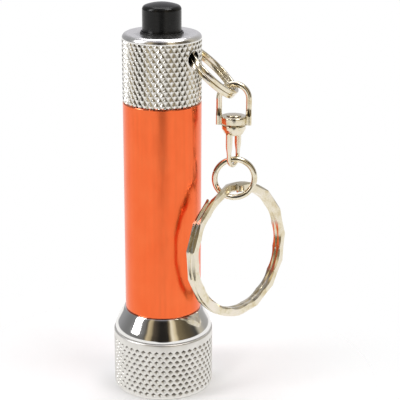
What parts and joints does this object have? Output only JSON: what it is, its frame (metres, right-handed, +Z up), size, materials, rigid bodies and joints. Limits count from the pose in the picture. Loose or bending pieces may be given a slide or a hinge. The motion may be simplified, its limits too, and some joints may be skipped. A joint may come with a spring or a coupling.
{
  "type": "keychain flashlight",
  "caption": "Pocket torch with a knurled bezel, a mirror bell, an anodised barrel, a knurled tail cap with a push button, and a key ring on a swivel chain.",
  "frame": {"origin": "centre of the bezel rim, on the plane that the torch stands on", "axes": "+Z up along the barrel from the bezel to the button, +X towards the side where the key ring hangs"},
  "size_m": [0.0351, 0.0225, 0.078],
  "materials": {
    "satin_chrome": "knurled, satin chrome plate",
    "mirror_chrome": "mirror polished",
    "lens_clear": "clear, polished",
    "black_rubber": "matte",
    "reflector_chrome": "vacuum-metallised",
    "board_white": "solder mask",
    "black_plastic": "moulded",
    "solder": "solder",
    "spring_steel": "drawn wire",
    "orange_anodised": "bright orange anodising",
    "sleeve_plastic": "thin tube",
    "contact_brass": "stamped",
    "button_plastic": "satin black",
    "rotor_plastic": "natural acetal",
    "nickel_wire": "bright warm nickel plate",
    "led_epoxy": "clear epoxy",
    "cell_steel": "bright can"
  },
  "bodies": {
    "barrel": {"barrel": "orange_anodised", "front_o_ring": "black_rubber", "tail_o_ring": "black_rubber"},
    "light_engine": {"reflector": "reflector_chrome", "led_board": "board_white", "led_1": "led_epoxy", "led_2": "led_epoxy", "led_3": "led_epoxy", "led_4": "led_epoxy", "led_5": "led_epoxy", "resistor": "black_plastic", "solder_joints": "solder", "front_spring": "spring_steel"},
    "head": {"bezel_ring": "satin_chrome", "head_bell": "mirror_chrome", "lens": "lens_clear", "lens_seal": "black_rubber"},
    "battery_stack": {"battery_sleeve": "sleeve_plastic", "cell_1": "cell_steel", "cell_2": "cell_steel", "cell_3": "cell_steel", "cell_4": "cell_steel"},
    "tail": {"tail_cap": "satin_chrome", "button_collar": "black_plastic", "switch_housing": "black_plastic", "switch_base": "black_plastic", "contact_rivet": "contact_brass", "earth_clip": "contact_brass", "tail_spring": "spring_steel", "return_spring": "spring_steel"},
    "button": {"button": "button_plastic", "switch_rotor": "rotor_plastic", "contact_disc": "contact_brass"},
    "small_ring": {"split_ring": "nickel_wire"},
    "bow": {"swivel_bow": "nickel_wire"},
    "swivel": {"swivel_eye": "nickel_wire", "swivel_rivet": "nickel_wire"},
    "jump_link": {"jump_ring": "nickel_wire"},
    "key_loop": {"key_ring": "nickel_wire"}
  },
  "joints": [
    {"name": "light_slide", "type": "slide", "parent": "barrel", "child": "light_engine", "axis": [0, 0, -1], "range_m": [0, 0.003]},
    {"name": "head_turn", "type": "hinge", "parent": "light_engine", "child": "head", "pos_m": [0, 0, 0], "axis": [0, 0, -1], "range_deg": [0, 1440.5]},
    {"name": "cell_slide", "type": "slide", "parent": "barrel", "child": "battery_stack", "axis": [0, 0, 1], "range_m": [0, 0.00375]},
    {"name": "tail_cap_turn", "type": "hinge", "parent": "battery_stack", "child": "tail", "pos_m": [0, 0, 0.05905], "axis": [0, 0, 1], "range_deg": [0, 1800.5]},
    {"name": "button_press", "type": "slide", "parent": "tail", "child": "button", "axis": [0, 0, -1], "range_m": [0, 0.0012], "stiffness_N_per_m": 1000, "springref_m": -0.0006, "deforming": ["return_spring"]},
    {"name": "ring_swing", "type": "hinge", "parent": "tail", "child": "small_ring", "pos_m": [0.0061, -0.00075, 0.06805], "axis": [-0.1219, -0.9925, 0], "range_deg": [0, 65]},
    {"name": "bow_swing", "type": "hinge", "parent": "small_ring", "child": "bow", "pos_m": [0.01373, -0.00169, 0.06089], "axis": [-0.1219, -0.9925, 0], "range_deg": [0, 70]},
    {"name": "swivel_turn", "type": "hinge", "parent": "bow", "child": "swivel", "pos_m": [0.01373, -0.00169, 0.05503], "axis": [0, 0, 1], "range_deg": [0, 85]},
    {"name": "jump_ring_swing", "type": "hinge", "parent": "swivel", "child": "jump_link", "pos_m": [0.01402, -0.00172, 0.04772], "axis": [-1, 0, 0], "range_deg": [0, 60]},
    {"name": "key_ring_swing", "type": "hinge", "parent": "jump_link", "child": "key_loop", "pos_m": [0.01402, -0.00172, 0.03994], "axis": [-1, 0, 0], "range_deg": [0, 45]}
  ],
  "couplings": [
    {"joint": "head_turn", "follows": "light_slide", "rad_per_m": 8377.6},
    {"joint": "tail_cap_turn", "follows": "cell_slide", "rad_per_m": 8377.6}
  ]
}
